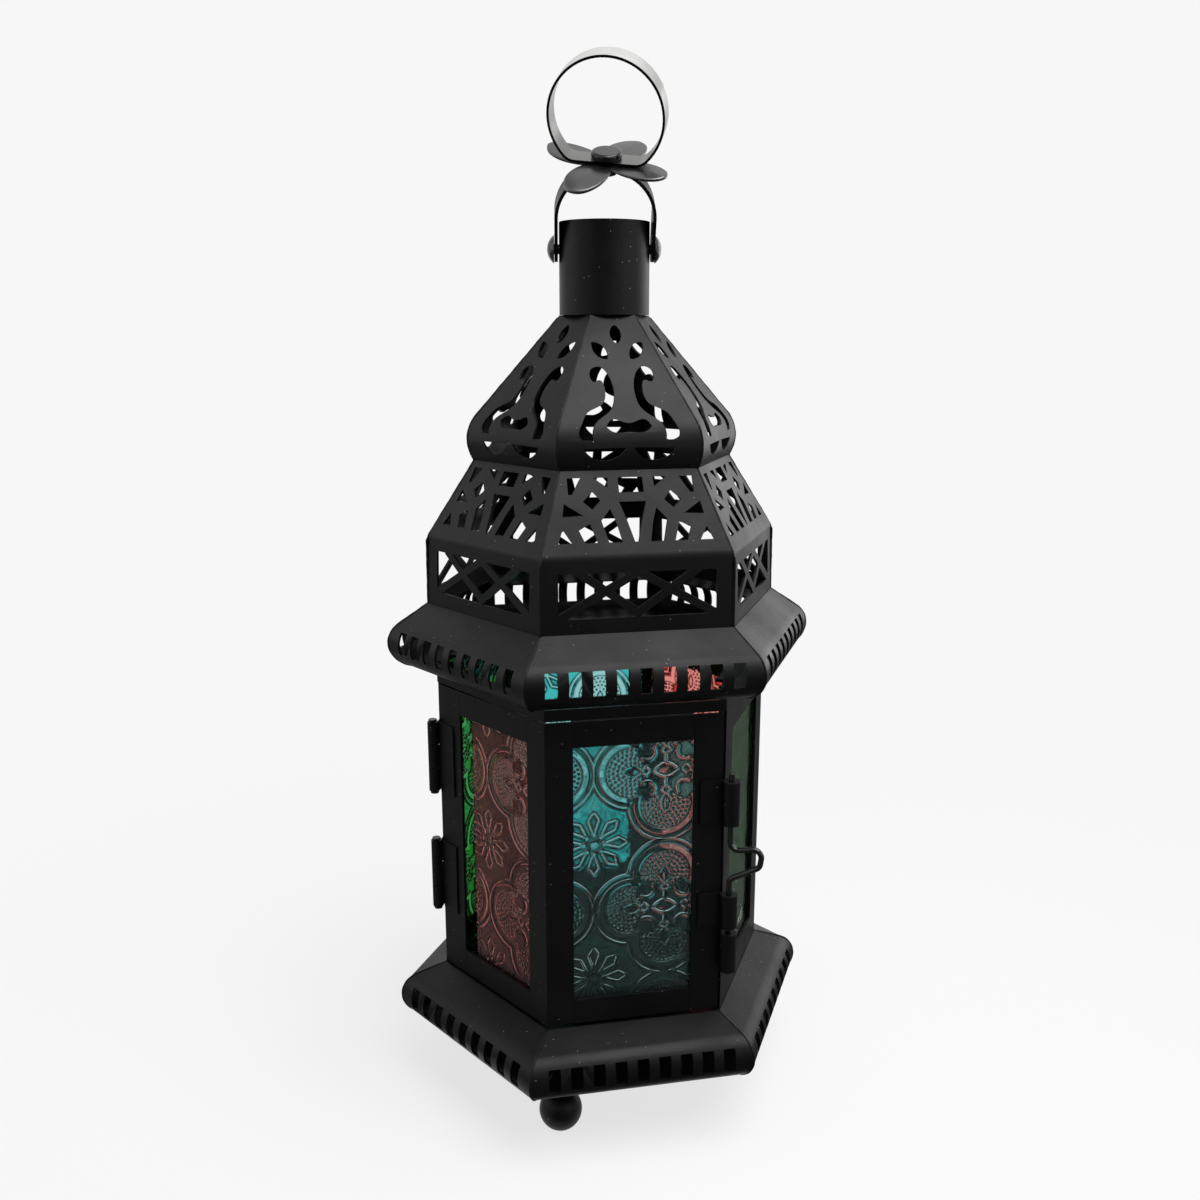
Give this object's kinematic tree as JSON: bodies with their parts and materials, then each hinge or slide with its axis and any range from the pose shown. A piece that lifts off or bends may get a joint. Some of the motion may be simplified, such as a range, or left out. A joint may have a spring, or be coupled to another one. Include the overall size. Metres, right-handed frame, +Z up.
{
  "type": "candle lantern",
  "caption": "Hexagonal black sheet-metal candle lantern with coloured embossed panes, a hinged folding-corner door, a pierced dome, a chimney and a swinging bail with a hanging ring.",
  "frame": {"origin": "on the lantern's axis, on the ground plane under the ball feet", "axes": "+Z up along the lantern's axis, -Y towards the folded corner of the door"},
  "size_m": [0.0962, 0.111, 0.2597],
  "materials": {
    "black_paint": "satin",
    "red_glass": "embossed, lacquered",
    "turquoise_glass": "embossed, lacquered",
    "green_glass": "embossed, lacquered"
  },
  "bodies": {
    "lantern": {"dome_panel_a": "black_paint", "dome_panel_b": "black_paint", "dome_panel_c": "black_paint", "dome_panel_d": "black_paint", "dome_panel_e": "black_paint", "dome_panel_f": "black_paint", "eave_panel_a": "black_paint", "eave_panel_b": "black_paint", "eave_panel_c": "black_paint", "eave_panel_d": "black_paint", "eave_panel_e": "black_paint", "eave_panel_f": "black_paint", "base_panel_a": "black_paint", "base_panel_b": "black_paint", "base_panel_c": "black_paint", "base_panel_d": "black_paint", "base_panel_e": "black_paint", "base_panel_f": "black_paint", "floor_plate": "black_paint", "ball_feet": "black_paint", "candle_cup": "black_paint", "candle_cup_rivet": "black_paint", "corner_post_30": "black_paint", "corner_post_90": "black_paint", "corner_post_150": "black_paint", "latch_post": "black_paint", "hinge_post": "black_paint", "door_lintel": "black_paint", "frame_top_rails": "black_paint", "frame_bottom_rails": "black_paint", "pane_c": "green_glass", "pane_d": "red_glass", "pane_e": "turquoise_glass", "pane_f": "green_glass", "lower_hinge_frame_leaf": "black_paint", "upper_hinge_frame_leaf": "black_paint", "hinge_pins": "black_paint", "latch_keeper": "black_paint", "chimney_tube": "black_paint", "bail_rivets": "black_paint"},
    "door": {"door_hinge_stile": "black_paint", "door_corner_post": "black_paint", "door_latch_stile": "black_paint", "door_top_rail_a": "black_paint", "door_top_rail_b": "black_paint", "door_bottom_rail_a": "black_paint", "door_bottom_rail_b": "black_paint", "door_pane_a": "red_glass", "door_pane_b": "turquoise_glass", "lower_hinge_door_leaf": "black_paint", "upper_hinge_door_leaf": "black_paint", "upper_latch_guide": "black_paint", "middle_latch_guide": "black_paint"},
    "latch": {"latch_wire": "black_paint"},
    "bail": {"bail_strap": "black_paint", "petal_plate": "black_paint", "ring_rivet": "black_paint"},
    "ring": {"hanging_ring": "black_paint"}
  },
  "joints": [
    {"name": "door_hinge", "type": "hinge", "parent": "lantern", "child": "door", "pos_m": [-0.03896, -0.02249, 0.0748], "axis": [0, 0, -1], "range_deg": [0, 135]},
    {"name": "latch_slide", "type": "slide", "parent": "door", "child": "latch", "axis": [0, 0, 1], "range_m": [-0.0024, 0.0045]},
    {"name": "bail_hinge", "type": "hinge", "parent": "lantern", "child": "bail", "pos_m": [0, 0, 0.2179], "axis": [0.9336, 0.3584, 0], "range_deg": [-120, 64]},
    {"name": "ring_swivel", "type": "hinge", "parent": "bail", "child": "ring", "pos_m": [0.00365, -0.00951, 0.23706], "axis": [0.1682, -0.4383, 0.8829], "continuous": true}
  ]
}
